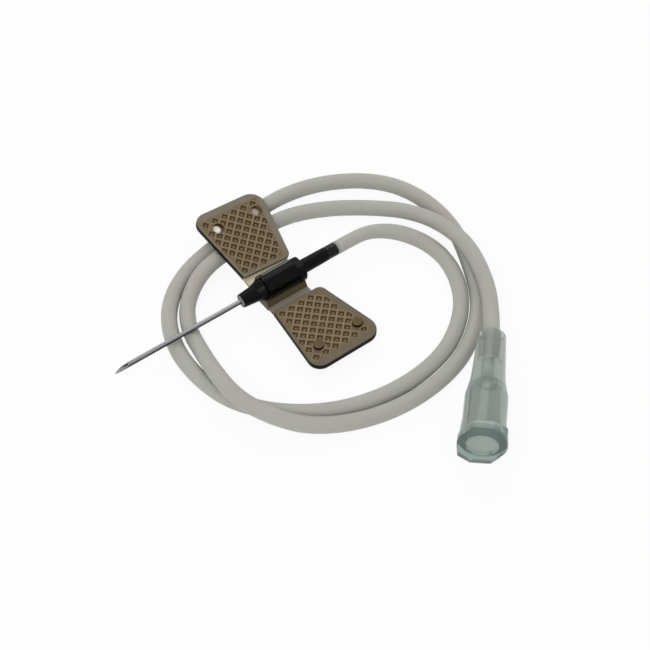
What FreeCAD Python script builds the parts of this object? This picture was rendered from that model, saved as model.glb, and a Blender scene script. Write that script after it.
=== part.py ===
"""Winged infusion needle, in millimetres.

Origin: centre of the hub's nose face. +X runs out along the needle, +Z is up, +Y is the left wing's side.
The table that the set lies on is at TABLE_Z.
"""
import math
import os

import FreeCAD
import Part

os.makedirs("parts", exist_ok=True)

TABLE_Z = -2.9
BOND_CLEARANCE = 0.02

# Cannula, 22 gauge
CANNULA_RADIUS = 0.35
CANNULA_BORE_RADIUS = 0.205
CANNULA_FREE_LENGTH = 20.5
CANNULA_BURIED_LENGTH = 9.0
BEVEL_LENGTH = 2.7
LANCET_SLOPE_DEG = 20.0
LANCET_TURN_DEG = 25.0

# Hub, from the nose backwards
NOSE_RADIUS = 1.0
NOSE_ROOT_RADIUS = 1.24
NOSE_LENGTH = 2.4
SHOULDER_RADIUS = 1.68
SHOULDER_LENGTH = 1.0
FRONT_COLLAR_LENGTH = 0.3
BODY_RADIUS = 1.45
BODY_LENGTH = 5.3
REAR_COLLAR_RADIUS = 1.8
REAR_COLLAR_LENGTH = 1.15
REAR_COLLAR_HALF_HEIGHT = 1.55
BARREL_FRONT_RADIUS = 1.05
BARREL_REAR_RADIUS = 1.0
BARREL_LENGTH = 4.35
SPIGOT_RADIUS = 0.8
SPIGOT_LENGTH = 1.9
SPIGOT_RING_RADIUS = 0.86
SPIGOT_RING_LENGTH = 0.35
WELL_RADIUS = 0.85
WELL_DEPTH = 1.5
HUB_LUMEN_RADIUS = 0.45
MENISCUS_HEIGHT = 0.12
MENISCUS_RADIUS = 0.6

# Wing sleeve and its webs
SLEEVE_RADIUS = 2.0
SADDLE_HALF_WIDTH = 2.35
SADDLE_SIDE_HEIGHT = 0.8
SADDLE_BASE_Z = -2.0
SADDLE_FRONT_X = -2.9
SADDLE_REAR_X = -9.6
SLEEVE_REAR_GAP = 0.1
WEB_THICKNESS = 0.35
HINGE_OFFSET = 3.0
HINGE_HALF_GAP = 0.11

# Wings, laid flat: d is the distance from the hub's axis
WING_BASE_Z = -1.66
WING_THICKNESS = 0.85
WING_ROOT = 3.6
WING_TIP = 15.45
WING_FRONT_ROOT_X = -2.85
WING_FRONT_TIP_X = -1.4
WING_REAR_ROOT_X = -10.95
WING_REAR_TIP_X = -13.35
WING_FRONT_CORNER = 1.8
WING_REAR_CORNER = 2.2
WING_ROOT_CORNER = 1.1
WING_EDGE_ROUND = 0.12
LEFT_WING_TILT_DEG = 0.9
RIGHT_WING_TILT_DEG = 13.6
RIGHT_HINGE_PITCH_DEG = 5.0
RIGHT_HINGE_PITCH_X = -7.1

# Grip lattice, pegs and sockets on the wings
CELL_PITCH = 1.15
CELL_TOP = 0.92
CELL_FLOOR = 0.56
CELL_DEPTH = 0.22
LATTICE_MARGIN_TIP = 1.2
LATTICE_MARGIN_REAR = 1.1
LATTICE_MARGIN_FRONT = 0.4
LATTICE_MARGIN_ROOT = 0.6
CELL_CENTRE_MARGIN = 0.1
PEG_RADIUS = 0.75
PEG_HEIGHT = 0.5
SOCKET_CLEARANCE = 0.1
SOCKET_DEPTH = 0.55
PEG_MARGIN = 0.15
PEG_DISTANCE = 12.3
PEG_PLACES_X = (-4.2, -10.8)

# Tubing
TUBE_RADIUS = 1.15
TUBE_BORE_RADIUS = 0.6

# Connector, a female luer: x runs from its small end to its mouth
CONNECTOR_LENGTH = 18.2
CONNECTOR_SMALL_END = (-23.3, 25.85)
CONNECTOR_SMALL_END_HEIGHT = 3.6
CONNECTOR_HEADING_DEG = 45.27
STEM_RADIUS = 1.93
STEM_ROOT_RADIUS = 2.23
STEM_LENGTH = 6.0
NECK_RADIUS = 2.37
NECK_LENGTH = 1.8
SHOULDER_RISE_LENGTH = 2.6
LUER_BODY_RADIUS = 2.87
FLANGE_RADIUS = 3.27
FLANGE_LENGTH = 1.1
FLANGE_COVE_LENGTH = 2.4
# lower lug, seen from the mouth: (across, up, corner radius) from the axis; the upper lug is its half turn
LUG_CORNERS = ((2.5, -2.1, 0), (1.4, -3.75, 0.3), (-1.3, -4.0, 0.3), (-3.0, -2.75, 0.3), (-3.24, -0.6, 0))
LUG_DROP = 3.98
LUER_MOUTH_RADIUS = 2.15
LUER_TAPER = 0.06
LUER_DEPTH = 8.6
LUER_FLOOR_RADIUS = 1.55
LUER_FLOOR_DEPTH = 9.8
THROAT_RADIUS = 0.7
TUBE_SOCKET_DEPTH = 4.5
TUBE_END_GAP = 0.04
GLUE_WELL_RADIUS = 1.55
GLUE_WELL_DEPTH = 1.6

# Centre line of the tubing as (x, y, height over the table); its last point is the connector's socket
TUBE_ROUTE = (
    (-22.35, -0.1, 2.5), (-26.2, 1.95, 1.7), (-28.6, 6.1, 1.15), (-28.6, 11.05, 1.15),
    (-26.25, 16.45, 1.15), (-22.0, 20.6, 1.15), (-16.4, 23.3, 1.15), (-8.5, 23.95, 1.15),
    (-0.75, 22.1, 1.15), (5.6, 18.0, 1.15), (10.15, 12.3, 1.15), (11.6, 5.9, 1.15),
    (11.1, -0.5, 1.15), (8.3, -6.25, 1.15), (2.9, -10.35, 1.15), (-4.3, -12.05, 1.15),
    (-11.85, -14.1, 1.15), (-19.6, -14.1, 1.15), (-26.5, -11.35, 1.15), (-31.5, -6.9, 1.15),
    (-33.7, -0.9, 1.15), (-33.55, 5.9, 1.15), (-31.05, 12.1, 1.15), (-27.85, 18.25, 1.15),
    (-23.05, 22.8, 1.15), (-16.75, 25.8, 1.15), (-9.0, 26.55, 1.15), (-1.7, 25.05, 1.15),
    (4.4, 22.15, 1.9), (8.1, 18.7, 3.4), (10.2, 13.7, 3.75), (10.0, 8.4, 3.4),
    (8.85, 3.2, 1.75), (7.85, -1.6, 1.15), (5.35, -5.75, 1.3), (0.35, -8.75, 2.2),
    (-7.0, -10.1, 1.2), (-14.3, -10.9, 1.15), (-20.6, -8.5, 1.15), (-26.0, -4.7, 1.15),
    (-29.8, 0.1, 2.1), (-31.35, 6.1, 3.4), (-31.3, 12.6, 3.75), (-27.2, 21.95, 3.51),
)
TUBE_LEAD_LENGTH = 3.8

# Places that follow from the sizes
SHOULDER_X = -NOSE_LENGTH - SHOULDER_LENGTH
BODY_FRONT_X = SHOULDER_X - FRONT_COLLAR_LENGTH
BODY_REAR_X = BODY_FRONT_X - BODY_LENGTH
BARREL_FRONT_X = BODY_REAR_X - REAR_COLLAR_LENGTH
BARREL_REAR_X = BARREL_FRONT_X - BARREL_LENGTH
HUB_REAR_X = BARREL_REAR_X - SPIGOT_LENGTH
WING_TOP_Z = WING_BASE_Z + WING_THICKNESS
WEB_TOP_Z = WING_BASE_Z + WEB_THICKNESS
HINGE_Z = WING_BASE_Z + WEB_THICKNESS / 2

Vec = FreeCAD.Vector
X_AXIS = Vec(1, 0, 0)
Y_AXIS = Vec(0, 1, 0)
Z_AXIS = Vec(0, 0, 1)


def rounded_wire(corners, place):
    """Closed wire through (a, b, corner radius) points; place turns (a, b) into a point in space."""
    points = [place(a, b) for a, b, _ in corners]
    edges = []
    ends = []
    for i, (_, _, radius) in enumerate(corners):
        here = points[i]
        back = (points[i - 1] - here).normalize()
        ahead = (points[(i + 1) % len(points)] - here).normalize()
        if radius == 0:
            ends.append((here, here))
            continue
        half = back.getAngle(ahead) / 2
        trim = radius / math.tan(half)
        middle = (back + ahead).normalize()
        centre = here + middle * (radius / math.sin(half))
        start = here + back * trim
        end = here + ahead * trim
        edges.append(Part.Arc(start, centre - middle * radius, end).toShape())
        ends.append((start, end))
    for i, (_, end) in enumerate(ends):
        following = ends[(i + 1) % len(ends)][0]
        if end.distanceToPoint(following) > 1e-6:
            edges.append(Part.LineSegment(end, following).toShape())
    return Part.Wire(Part.__sortEdges__(edges))


def side_place(a, b):
    """Profiles that turn round the X axis are drawn in the XZ plane."""
    return Vec(a, 0, b)


def turned(corners):
    """Solid of revolution round the X axis of an (x, radius, corner radius) profile."""
    face = Part.Face(rounded_wire(corners, side_place))
    return face.revolve(Vec(0, 0, 0), X_AXIS, 360)


def rod(radius, x_start, x_end):
    """Round bar on the X axis."""
    return Part.makeCylinder(radius, x_end - x_start, Vec(x_start, 0, 0), X_AXIS)


def block(x_start, x_end, y_start, y_end, z_start, z_end):
    """Rectangular block between two corners."""
    size = (x_end - x_start, y_end - y_start, z_end - z_start)
    return Part.makeBox(size[0], size[1], size[2], Vec(x_start, y_start, z_start))


def bevel_cutter(length_per_height):
    """Wedge above a plane that climbs back from the very tip of the needle."""
    low = -CANNULA_RADIUS
    tip = CANNULA_FREE_LENGTH
    reach = 2.0
    corners = (
        (tip + reach * length_per_height, low - reach, 0),
        (tip - reach * length_per_height, low + reach, 0),
        (tip + reach * length_per_height, low + reach, 0),
    )
    face = Part.Face(rounded_wire(corners, side_place))
    wedge = face.extrude(Vec(0, 4 * CANNULA_RADIUS, 0))
    wedge.translate(Vec(0, -2 * CANNULA_RADIUS, 0))
    return wedge


def make_cannula():
    """Steel tube with a main bevel and two side facets at its tip."""
    tube = rod(CANNULA_RADIUS, -CANNULA_BURIED_LENGTH, CANNULA_FREE_LENGTH)
    bore = rod(CANNULA_BORE_RADIUS, -CANNULA_BURIED_LENGTH - 1, CANNULA_FREE_LENGTH + 1)
    tube = tube.cut(bore)
    tube = tube.cut(bevel_cutter(BEVEL_LENGTH / (2 * CANNULA_RADIUS)))
    for turn in (-LANCET_TURN_DEG, LANCET_TURN_DEG):
        facet = bevel_cutter(1 / math.tan(math.radians(LANCET_SLOPE_DEG)))
        facet.rotate(Vec(0, 0, -CANNULA_RADIUS), X_AXIS, turn)
        tube = tube.cut(facet)
    return tube


def make_needle_adhesive():
    """Plug of adhesive in the nose well, with a low fillet round the cannula."""
    hole = CANNULA_RADIUS + BOND_CLEARANCE
    plug = WELL_RADIUS - BOND_CLEARANCE
    corners = (
        (-WELL_DEPTH + BOND_CLEARANCE, hole, 0),
        (-WELL_DEPTH + BOND_CLEARANCE, plug, 0),
        (-BOND_CLEARANCE, plug, 0),
        (-BOND_CLEARANCE, MENISCUS_RADIUS, 0),
        (MENISCUS_HEIGHT, hole + 0.06, 0.05),
        (MENISCUS_HEIGHT, hole, 0),
    )
    return turned(corners)


def hub_outline(grow):
    """Outer profile of the hub, grown by a clearance where another piece fits round it."""
    return (
        (grow, 0, 0),
        (grow, NOSE_RADIUS + grow, 0.08),
        (-NOSE_LENGTH, NOSE_ROOT_RADIUS + grow, 0.5),
        (SHOULDER_X, SHOULDER_RADIUS + grow, 0.12),
        (BODY_FRONT_X - grow, SHOULDER_RADIUS + grow, 0.05),
        (BODY_FRONT_X - grow, BODY_RADIUS + grow, 0),
        (BODY_REAR_X + grow, BODY_RADIUS + grow, 0),
        (BODY_REAR_X + grow, REAR_COLLAR_RADIUS + grow, 0.08),
        (BARREL_FRONT_X - grow, REAR_COLLAR_RADIUS + grow, 0.12),
        (BARREL_FRONT_X - grow, BARREL_FRONT_RADIUS + grow, 0.15),
        (BARREL_REAR_X - grow, BARREL_REAR_RADIUS + grow, 0.06),
        (BARREL_REAR_X - grow, SPIGOT_RADIUS + grow, 0),
        (HUB_REAR_X + SPIGOT_RING_LENGTH, SPIGOT_RADIUS + grow, 0),
        (HUB_REAR_X + SPIGOT_RING_LENGTH * 0.7, SPIGOT_RING_RADIUS + grow, 0),
        (HUB_REAR_X + SPIGOT_RING_LENGTH * 0.4, SPIGOT_RING_RADIUS + grow, 0),
        (HUB_REAR_X - grow, SPIGOT_RADIUS - 0.08 + grow, 0),
        (HUB_REAR_X - grow, 0, 0),
    )


def hub_body(grow):
    """Hub without its bores: the turned form with the two flats of its rear collar."""
    body = turned(hub_outline(grow))
    half_height = REAR_COLLAR_HALF_HEIGHT + grow
    reach = REAR_COLLAR_RADIUS + 1
    for low, high in ((half_height, reach), (-reach, -half_height)):
        flat = block(BARREL_FRONT_X - 2 * grow, BODY_REAR_X + 2 * grow, -reach, reach, low, high)
        body = body.cut(flat)
    return body


def make_hub():
    """Black hub: nose well, seat for the cannula, and a lumen that runs out through the tube spigot."""
    hub = hub_body(0)
    hub = hub.cut(rod(WELL_RADIUS, -WELL_DEPTH, 1))
    seat_end = -CANNULA_BURIED_LENGTH - BOND_CLEARANCE
    hub = hub.cut(rod(CANNULA_RADIUS + BOND_CLEARANCE, seat_end, 1))
    return hub.cut(rod(HUB_LUMEN_RADIUS, HUB_REAR_X - 1, seat_end))


def half_web():
    """Half of the thin web between sleeve and wing on the +Y side, up to the hinge, with a rounded edge."""
    edge = HINGE_OFFSET - HINGE_HALF_GAP
    rounding = WEB_THICKNESS * 0.45
    corners = (
        (SADDLE_HALF_WIDTH - 0.45, WING_BASE_Z, 0),
        (edge, WING_BASE_Z, rounding),
        (edge, WEB_TOP_Z, rounding),
        (SADDLE_HALF_WIDTH - 0.45, WEB_TOP_Z, 0),
    )
    face = Part.Face(rounded_wire(corners, lambda y, z: Vec(SADDLE_REAR_X, y, z)))
    return face.extrude(Vec(SADDLE_FRONT_X - SADDLE_REAR_X, 0, 0))


def pitched(shape):
    """Raises the needle end of the right hinge line, as the soft moulding lies."""
    shape.rotate(Vec(RIGHT_HINGE_PITCH_X, 0, HINGE_Z), Y_AXIS, -RIGHT_HINGE_PITCH_DEG)
    return shape


def make_wing_sleeve():
    """Soft sleeve round the hub's body, on a flat saddle with a web on each side."""
    rear_x = BODY_REAR_X + SLEEVE_REAR_GAP
    sleeve = rod(SLEEVE_RADIUS, rear_x, BODY_FRONT_X)
    side_top = SADDLE_BASE_Z + SADDLE_SIDE_HEIGHT
    corners = (
        (-SADDLE_HALF_WIDTH, SADDLE_BASE_Z, 0.2),
        (SADDLE_HALF_WIDTH, SADDLE_BASE_Z, 0.2),
        (SADDLE_HALF_WIDTH, side_top, 0.15),
        (SLEEVE_RADIUS - 0.06, side_top + 0.75, 0),
        (-SLEEVE_RADIUS + 0.06, side_top + 0.75, 0),
        (-SADDLE_HALF_WIDTH, side_top, 0.15),
    )
    saddle = Part.Face(rounded_wire(corners, lambda y, z: Vec(SADDLE_REAR_X, y, z)))
    saddle = saddle.extrude(Vec(SADDLE_FRONT_X - SADDLE_REAR_X, 0, 0))
    right_web = pitched(half_web().mirror(Vec(0, 0, 0), Y_AXIS))
    sleeve = sleeve.fuse([saddle, half_web(), right_web])
    return sleeve.cut(hub_body(BOND_CLEARANCE)).removeSplitter()


def edge_distance(x, d, start, end):
    """Distance of a point from the line through two outline corners, positive towards the wing's middle."""
    along = (end[0] - start[0], end[1] - start[1])
    length = math.hypot(along[0], along[1])
    return ((x - start[0]) * along[1] - (d - start[1]) * along[0]) / length


def in_lattice(x, d):
    """True where the middle of a grip cell may lie."""
    front_root = (WING_FRONT_ROOT_X, WING_ROOT)
    front_tip = (WING_FRONT_TIP_X, WING_TIP)
    rear_tip = (WING_REAR_TIP_X, WING_TIP)
    rear_root = (WING_REAR_ROOT_X, WING_ROOT)
    gaps = (
        edge_distance(x, d, front_tip, front_root) - LATTICE_MARGIN_FRONT,
        edge_distance(x, d, rear_root, rear_tip) - LATTICE_MARGIN_REAR,
        WING_TIP - LATTICE_MARGIN_TIP - d,
        d - WING_ROOT - LATTICE_MARGIN_ROOT,
    )
    if min(gaps) < CELL_CENTRE_MARGIN:
        return False
    reach = PEG_RADIUS + SOCKET_CLEARANCE + PEG_MARGIN + CELL_CENTRE_MARGIN
    return all(math.hypot(x - peg_x, d - PEG_DISTANCE) > reach for peg_x in PEG_PLACES_X)


def lattice_field():
    """Block inside the lattice's margins, less a ring round each peg; it trims the cells at the edges."""
    low = WING_TOP_Z - 2 * CELL_DEPTH
    front = (WING_FRONT_TIP_X - WING_FRONT_ROOT_X) / (WING_TIP - WING_ROOT)
    rear = (WING_REAR_TIP_X - WING_REAR_ROOT_X) / (WING_TIP - WING_ROOT)
    front_shift = LATTICE_MARGIN_FRONT * math.hypot(1, front)
    rear_shift = LATTICE_MARGIN_REAR * math.hypot(1, rear)
    tip = WING_TIP - LATTICE_MARGIN_TIP
    corners = []
    for d in (WING_ROOT + LATTICE_MARGIN_ROOT, tip):
        front_x = WING_FRONT_ROOT_X + front * (d - WING_ROOT) - front_shift
        rear_x = WING_REAR_ROOT_X + rear * (d - WING_ROOT) + rear_shift
        corners.append(((front_x, d, 0.8 if d == tip else 0), (rear_x, d, 1.3 if d == tip else 0.6)))
    outline = (corners[0][0], corners[1][0], corners[1][1], corners[0][1])
    wire = rounded_wire(outline, lambda x, d: Vec(x, d, low))
    field = Part.Face(wire).extrude(Vec(0, 0, 4 * CELL_DEPTH))
    for x in PEG_PLACES_X:
        ring = PEG_RADIUS + SOCKET_CLEARANCE + PEG_MARGIN
        field = field.cut(Part.makeCylinder(ring, 6 * CELL_DEPTH, Vec(x, PEG_DISTANCE, low - CELL_DEPTH)))
    return field


def square_wire(side, z):
    """Square turned by 45 degrees, centred on the origin."""
    reach = side / math.sqrt(2)
    corners = ((reach, 0, 0), (0, reach, 0), (-reach, 0, 0), (0, -reach, 0))
    return rounded_wire(corners, lambda x, y: Vec(x, y, z))


def grip_pockets():
    """Tapered pockets of the grip lattice; the outer ones are trimmed by the lattice's margins."""
    over = 0.05
    slope = (CELL_TOP - CELL_FLOOR) / CELL_DEPTH
    mouth = square_wire(CELL_TOP + slope * over, WING_TOP_Z + over)
    floor = square_wire(CELL_FLOOR, WING_TOP_Z - CELL_DEPTH)
    pocket = Part.makeLoft([floor, mouth], True, True)
    step = CELL_PITCH / math.sqrt(2)
    middle_x = (WING_FRONT_ROOT_X + WING_REAR_ROOT_X) / 2
    middle_d = (WING_ROOT + WING_TIP) / 2
    field = lattice_field()
    pockets = []
    for i in range(-14, 15):
        for j in range(-14, 15):
            if (i + j) % 2:
                continue
            x = middle_x + i * step
            d = middle_d + j * step
            if in_lattice(x, d):
                pockets += pocket.translated(Vec(x, d, 0)).common(field).Solids
    return pockets


def flat_wing():
    """Wing on the +Y side, laid flat: a plate with a grip lattice and a thin strip up to the hinge."""
    corners = (
        (WING_FRONT_ROOT_X, WING_ROOT, 0.15),
        (WING_FRONT_TIP_X, WING_TIP, WING_FRONT_CORNER),
        (WING_REAR_TIP_X, WING_TIP, WING_REAR_CORNER),
        (WING_REAR_ROOT_X, WING_ROOT, WING_ROOT_CORNER),
    )
    outline = rounded_wire(corners, lambda x, d: Vec(x, d, WING_BASE_Z))
    plate = Part.Face(outline).extrude(Vec(0, 0, WING_THICKNESS))
    rims = [edge for edge in plate.Edges if edge.BoundBox.ZMin > WING_TOP_Z - 1e-6]
    plate = plate.makeFillet(WING_EDGE_ROUND, rims)
    start = HINGE_OFFSET + HINGE_HALF_GAP
    rounding = WEB_THICKNESS * 0.45
    strip_corners = (
        (start, WING_BASE_Z, rounding),
        (WING_ROOT + 0.3, WING_BASE_Z, 0),
        (WING_ROOT + 0.3, WEB_TOP_Z, 0),
        (start, WEB_TOP_Z, rounding),
    )
    strip = Part.Face(rounded_wire(strip_corners, lambda d, z: Vec(SADDLE_REAR_X, d, z)))
    strip = strip.extrude(Vec(SADDLE_FRONT_X - SADDLE_REAR_X, 0, 0))
    return plate.fuse(strip).cut(grip_pockets())


def make_left_wing():
    """Wing with two round pegs, lying almost level."""
    wing = flat_wing()
    pegs = []
    for x in PEG_PLACES_X:
        sunk = 0.1
        peg = Part.makeCylinder(PEG_RADIUS, PEG_HEIGHT + sunk, Vec(x, PEG_DISTANCE, WING_TOP_Z - sunk))
        top = [edge for edge in peg.Edges if edge.BoundBox.ZMin > WING_TOP_Z]
        pegs.append(peg.makeFillet(0.1, top))
    wing = wing.fuse(pegs).removeSplitter()
    wing.rotate(Vec(0, HINGE_OFFSET, HINGE_Z), X_AXIS, LEFT_WING_TILT_DEG)
    return wing


def make_right_wing():
    """Wing with the two sockets that take the pegs when the wings are pinched together."""
    wing = flat_wing()
    for x in PEG_PLACES_X:
        place = Vec(x, PEG_DISTANCE, WING_TOP_Z - SOCKET_DEPTH)
        socket = Part.makeCylinder(PEG_RADIUS + SOCKET_CLEARANCE, SOCKET_DEPTH + 1, place)
        wing = wing.cut(socket)
    wing = wing.mirror(Vec(0, 0, 0), Y_AXIS)
    wing.rotate(Vec(0, -HINGE_OFFSET, HINGE_Z), X_AXIS, -RIGHT_WING_TILT_DEG)
    return pitched(wing)


def connector_frame():
    """Point of the connector's small end and its direction towards the mouth."""
    # the rear edge of the lower lug rests on the table
    x, y = CONNECTOR_SMALL_END
    rise = LUG_DROP - CONNECTOR_SMALL_END_HEIGHT
    tilt = math.asin(rise / (CONNECTOR_LENGTH - FLANGE_LENGTH))
    heading = math.radians(CONNECTOR_HEADING_DEG)
    level = math.cos(tilt)
    start = Vec(x, y, TABLE_Z + CONNECTOR_SMALL_END_HEIGHT)
    return start, Vec(level * math.cos(heading), level * math.sin(heading), math.sin(tilt))


def make_connector():
    """Female luer with a flange, two lugs, a tapered cavity and a socket for the tubing."""
    neck_x = STEM_LENGTH + NECK_LENGTH
    body_x = neck_x + SHOULDER_RISE_LENGTH
    flange_x = CONNECTOR_LENGTH - FLANGE_LENGTH
    cove_x = CONNECTOR_LENGTH - FLANGE_COVE_LENGTH
    outer = turned((
        (0, 0, 0),
        (0, STEM_RADIUS, 0.15),
        (STEM_LENGTH, STEM_ROOT_RADIUS, 1.5),
        (neck_x, NECK_RADIUS, 1.5),
        (body_x, LUER_BODY_RADIUS, 1.5),
        (cove_x - 1.6, LUER_BODY_RADIUS + 0.03, 1.5),
        (cove_x, LUER_BODY_RADIUS + 0.17, 0.5),
        (flange_x, LUER_BODY_RADIUS + 0.25, 0),
        (flange_x, FLANGE_RADIUS, 0.12),
        (CONNECTOR_LENGTH, FLANGE_RADIUS, 0.15),
        (CONNECTOR_LENGTH, 0, 0),
    ))
    lugs = []
    for side in (1, -1):
        corners = [(side * across, side * up, radius) for across, up, radius in LUG_CORNERS]
        face = Part.Face(rounded_wire(corners, lambda y, z: Vec(flange_x, y, z)))
        lugs.append(face.extrude(Vec(FLANGE_LENGTH, 0, 0)))
    outer = outer.fuse(lugs)
    taper_end = LUER_MOUTH_RADIUS - LUER_TAPER / 2 * LUER_DEPTH
    cavity = turned((
        (CONNECTOR_LENGTH + 1, 0, 0),
        (CONNECTOR_LENGTH + 1, LUER_MOUTH_RADIUS + LUER_TAPER / 2, 0),
        (CONNECTOR_LENGTH - LUER_DEPTH, taper_end, 0.5),
        (CONNECTOR_LENGTH - LUER_FLOOR_DEPTH, LUER_FLOOR_RADIUS, 0.2),
        (CONNECTOR_LENGTH - LUER_FLOOR_DEPTH, THROAT_RADIUS, 0),
        (TUBE_SOCKET_DEPTH, THROAT_RADIUS, 0),
        (TUBE_SOCKET_DEPTH, TUBE_RADIUS + BOND_CLEARANCE, 0),
        (GLUE_WELL_DEPTH, TUBE_RADIUS + BOND_CLEARANCE, 0),
        (0, GLUE_WELL_RADIUS, 0),
        (-1, GLUE_WELL_RADIUS, 0),
        (-1, 0, 0),
    ))
    connector = outer.cut(cavity).removeSplitter()
    start, direction = connector_frame()
    pitch = math.degrees(math.asin(direction.z))
    connector.rotate(Vec(0, 0, 0), Y_AXIS, -pitch)
    connector.rotate(Vec(0, 0, 0), Z_AXIS, CONNECTOR_HEADING_DEG)
    connector.translate(start)
    return connector


def tube_points():
    """Corner points of the tube's centre line, from the hub's spigot to the connector's socket."""
    lead_x = BARREL_REAR_X - BOND_CLEARANCE
    points = [Vec(lead_x, 0, 0), Vec(lead_x - TUBE_LEAD_LENGTH, 0, 0)]
    points += [Vec(x, y, height + TABLE_Z) for x, y, height in TUBE_ROUTE]
    start, direction = connector_frame()
    points.append(start + direction * (TUBE_SOCKET_DEPTH - TUBE_END_GAP))
    return points


def tube_path(points):
    """Straight runs joined by tangent arcs; prints every bend's radius."""
    edges = []
    start = points[0]
    for before, here, after in zip(points, points[1:], points[2:]):
        back = before - here
        ahead = after - here
        trim = 0.45 * min(back.Length, ahead.Length)
        back.normalize()
        ahead.normalize()
        half = back.getAngle(ahead) / 2
        radius = trim * math.tan(half)
        middle = (back + ahead).normalize()
        nearest = here + middle * (radius / math.sin(half) - radius)
        first = here + back * trim
        last = here + ahead * trim
        edges.append(Part.LineSegment(start, first).toShape())
        edges.append(Part.Arc(first, nearest, last).toShape())
        print("bend radius", round(radius, 2))
        start = last
    edges.append(Part.LineSegment(start, points[-1]).toShape())
    return Part.Wire(edges)


def swept_rod(path, radius):
    """Round section swept along a path that starts along the X axis."""
    start = path.Vertexes[0].Point
    ring = Part.Wire(Part.makeCircle(radius, start, X_AXIS))
    return path.makePipeShell([ring], True, False)


def make_tube():
    """Soft tubing, widened over the hub's spigot."""
    path = tube_path(tube_points())
    tube = swept_rod(path, TUBE_RADIUS).cut(swept_rod(path, TUBE_BORE_RADIUS))
    section = math.pi * (TUBE_RADIUS ** 2 - TUBE_BORE_RADIUS ** 2)
    print("tube length", round(path.Length, 2), "volume", round(tube.Volume, 1))
    print("section by length", round(section * path.Length, 1))
    widened = rod(SPIGOT_RING_RADIUS + BOND_CLEARANCE, HUB_REAR_X - 0.1, BARREL_REAR_X + 1)
    return tube.cut(widened)


PIECES = {
    "cannula": make_cannula,
    "needle_adhesive": make_needle_adhesive,
    "hub": make_hub,
    "wing_sleeve": make_wing_sleeve,
    "left_wing": make_left_wing,
    "right_wing": make_right_wing,
    "tube": make_tube,
    "connector": make_connector,
}

for name, make in PIECES.items():
    shape = make()
    solids = shape.Solids
    print(name, "solids", len(solids), "valid", shape.isValid(), "volume", round(shape.Volume, 2))
    solids[0].exportStep("parts/" + name + ".step")
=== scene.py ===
import math

import bmesh
import bpy
from mathutils import Matrix, Vector


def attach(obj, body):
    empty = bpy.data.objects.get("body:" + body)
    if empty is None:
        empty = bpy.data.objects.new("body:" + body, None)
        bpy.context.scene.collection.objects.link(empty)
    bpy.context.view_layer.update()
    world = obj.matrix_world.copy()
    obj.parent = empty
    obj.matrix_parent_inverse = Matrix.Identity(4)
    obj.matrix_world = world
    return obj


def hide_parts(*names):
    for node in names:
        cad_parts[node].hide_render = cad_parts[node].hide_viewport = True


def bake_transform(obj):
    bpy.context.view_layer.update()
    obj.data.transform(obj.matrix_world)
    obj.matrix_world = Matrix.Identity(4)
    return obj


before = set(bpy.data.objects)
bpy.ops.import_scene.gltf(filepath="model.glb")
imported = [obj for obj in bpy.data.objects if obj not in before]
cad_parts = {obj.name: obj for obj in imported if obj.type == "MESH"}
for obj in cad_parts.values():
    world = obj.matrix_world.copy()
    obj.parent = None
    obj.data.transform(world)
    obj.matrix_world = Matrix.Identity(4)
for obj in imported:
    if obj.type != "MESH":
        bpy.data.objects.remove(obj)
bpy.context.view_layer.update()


# Studio: a white painted table between two broad soft lamps, under an even white sky. The camera looks down
# on the set from the left wing's side. The lamps' places and widths and the camera's reach are in metres.
MM = 0.001
WHITE = (1, 1, 1, 1)
TABLE_Z = -2.9 * MM
TABLE_REACH = 3.0
TABLE_GLOW_SHARE = 0.9
SKY_STRENGTH = 0.62
KEY_LIGHT = {"place": (0.24, 0.2, 0.4), "width": 0.22, "watts": 0.9}
FILL_LIGHT = {"place": (-0.2, -0.3, 0.4), "width": 0.3, "watts": 0.5}
CAMERA_TARGET = Vector((-8.16, 8.44, -2.9)) * MM
CAMERA_DISTANCE = 212.09 * MM
CAMERA_HEIGHT_DEG = 51.39
CAMERA_SIDE_DEG = 36.78
CAMERA_LENS = 84.57
CAMERA_SENSOR = 36
CAMERA_REACH = (0.01, 10)


def linear_colour(code):
    """Turns an sRGB hex colour into linear values with full opacity."""
    values = []
    for i in (0, 2, 4):
        share = int(code[i:i + 2], 16) / 255
        if share <= 0.04045:
            values.append(share / 12.92)
        else:
            values.append(((share + 0.055) / 1.055) ** 2.4)
    return (*values, 1.0)


def new_material(name):
    """Material with an empty node tree and its output node."""
    material = bpy.data.materials.new(name)
    material.use_nodes = True
    tree = material.node_tree
    tree.nodes.clear()
    output = tree.nodes.new("ShaderNodeOutputMaterial")
    return material, tree, output


def add_node(tree, kind, sockets=None, **settings):
    """Adds a node with its settings, and links each socket to an output or sets it to a value."""
    node = tree.nodes.new(kind)
    for name, value in settings.items():
        setattr(node, name, value)
    for socket, value in (sockets or {}).items():
        if isinstance(value, bpy.types.NodeSocket):
            tree.links.new(value, node.inputs[socket])
        else:
            node.inputs[socket].default_value = value
    return node


def combined(tree, operation, values):
    """Result of one kind of sum over several values in turn; a single value stays as it is."""
    result = values[0]
    for value in values[1:]:
        result = add_node(tree, "ShaderNodeMath", {0: result, 1: value}, operation=operation).outputs[0]
    return result


def seen_directly(tree):
    """1 for camera, mirror and see-through rays, which see the background as plain white."""
    path = add_node(tree, "ShaderNodeLightPath")
    kinds = ("Is Camera Ray", "Is Glossy Ray", "Is Transmission Ray")
    return combined(tree, "MAXIMUM", [path.outputs[kind] for kind in kinds])


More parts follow.
